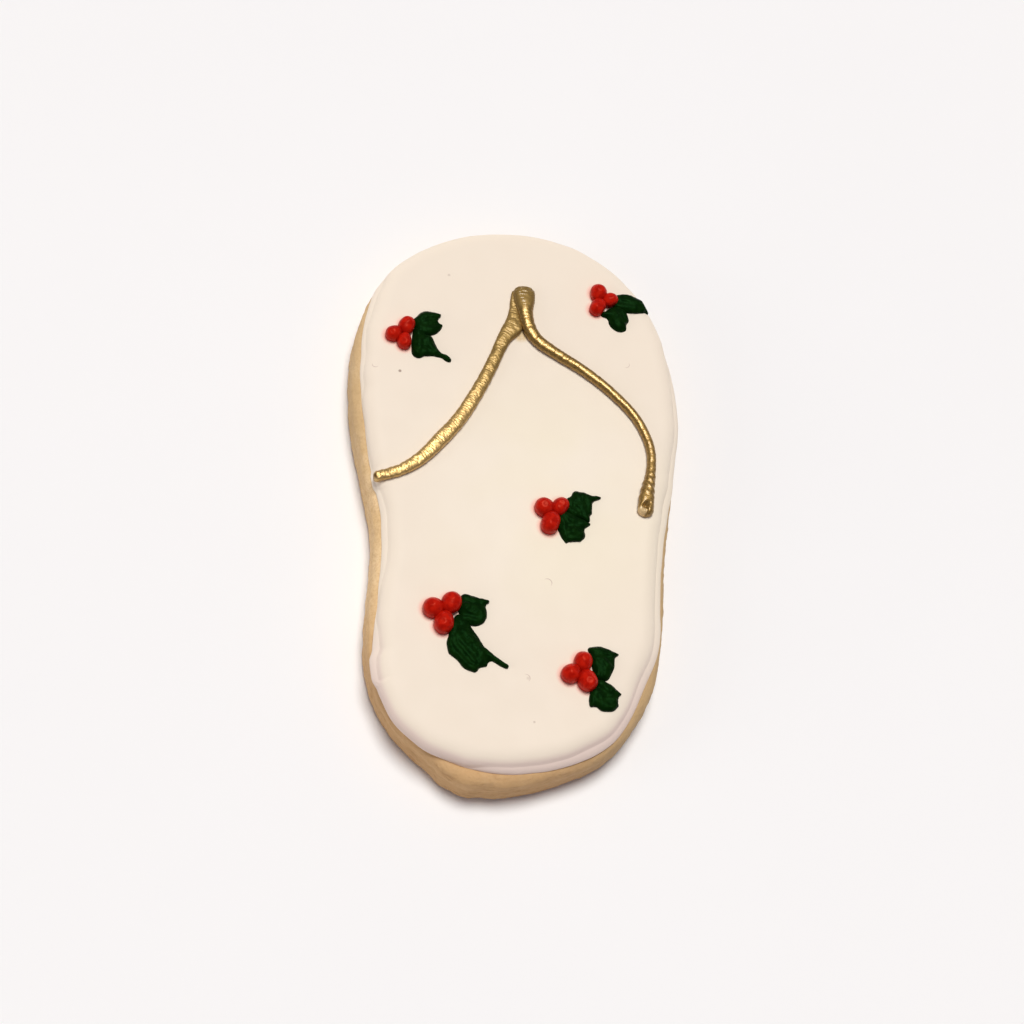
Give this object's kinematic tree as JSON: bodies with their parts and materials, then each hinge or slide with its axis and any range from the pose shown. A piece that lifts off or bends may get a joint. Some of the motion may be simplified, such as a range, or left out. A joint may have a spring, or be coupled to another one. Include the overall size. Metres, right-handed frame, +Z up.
{
  "type": "iced sugar cookie",
  "caption": "Sandal-shaped rolled sugar cookie flooded with white icing, with gold piped straps and small piped holly sprigs.",
  "frame": {"origin": "centre of the outline's bounding box, on the surface the biscuit lies on", "axes": "+Y from the heel towards the toe, +X to the right seen from above, +Z up through the icing"},
  "size_m": [0.0566, 0.102, 0.0115],
  "materials": {
    "biscuit": "baked sugar dough, matt, pale golden brown",
    "white_icing": "dried royal icing, satin, warm white",
    "gold_icing": "piped icing brushed with edible gold paint",
    "red_icing": "piped royal icing, satin red",
    "green_icing": "piped royal icing, satin dark green"
  },
  "bodies": {
    "root": {"biscuit": "biscuit", "flood_icing": "white_icing", "sprig_ball_left_berry_1": "red_icing", "sprig_ball_left_berry_2": "red_icing", "sprig_ball_left_berry_3": "red_icing", "sprig_ball_left_leaf_back": "green_icing", "sprig_ball_left_leaf_front": "green_icing", "sprig_heel_left_berry_1": "red_icing", "sprig_heel_left_berry_2": "red_icing", "sprig_heel_left_berry_3": "red_icing", "sprig_heel_left_leaf_back": "green_icing", "sprig_heel_left_leaf_front": "green_icing", "sprig_heel_right_berry_1": "red_icing", "sprig_heel_right_berry_2": "red_icing", "sprig_heel_right_berry_3": "red_icing", "sprig_heel_right_leaf_back": "green_icing", "sprig_heel_right_leaf_front": "green_icing", "sprig_middle_berry_1": "red_icing", "sprig_middle_berry_2": "red_icing", "sprig_middle_berry_3": "red_icing", "sprig_middle_leaf_back": "green_icing", "sprig_middle_leaf_front": "green_icing", "sprig_toe_right_berry_1": "red_icing", "sprig_toe_right_berry_2": "red_icing", "sprig_toe_right_berry_3": "red_icing", "sprig_toe_right_leaf_back": "green_icing", "sprig_toe_right_leaf_front": "green_icing", "strap_left": "gold_icing", "strap_right": "gold_icing"}
  },
  "joints": []
}
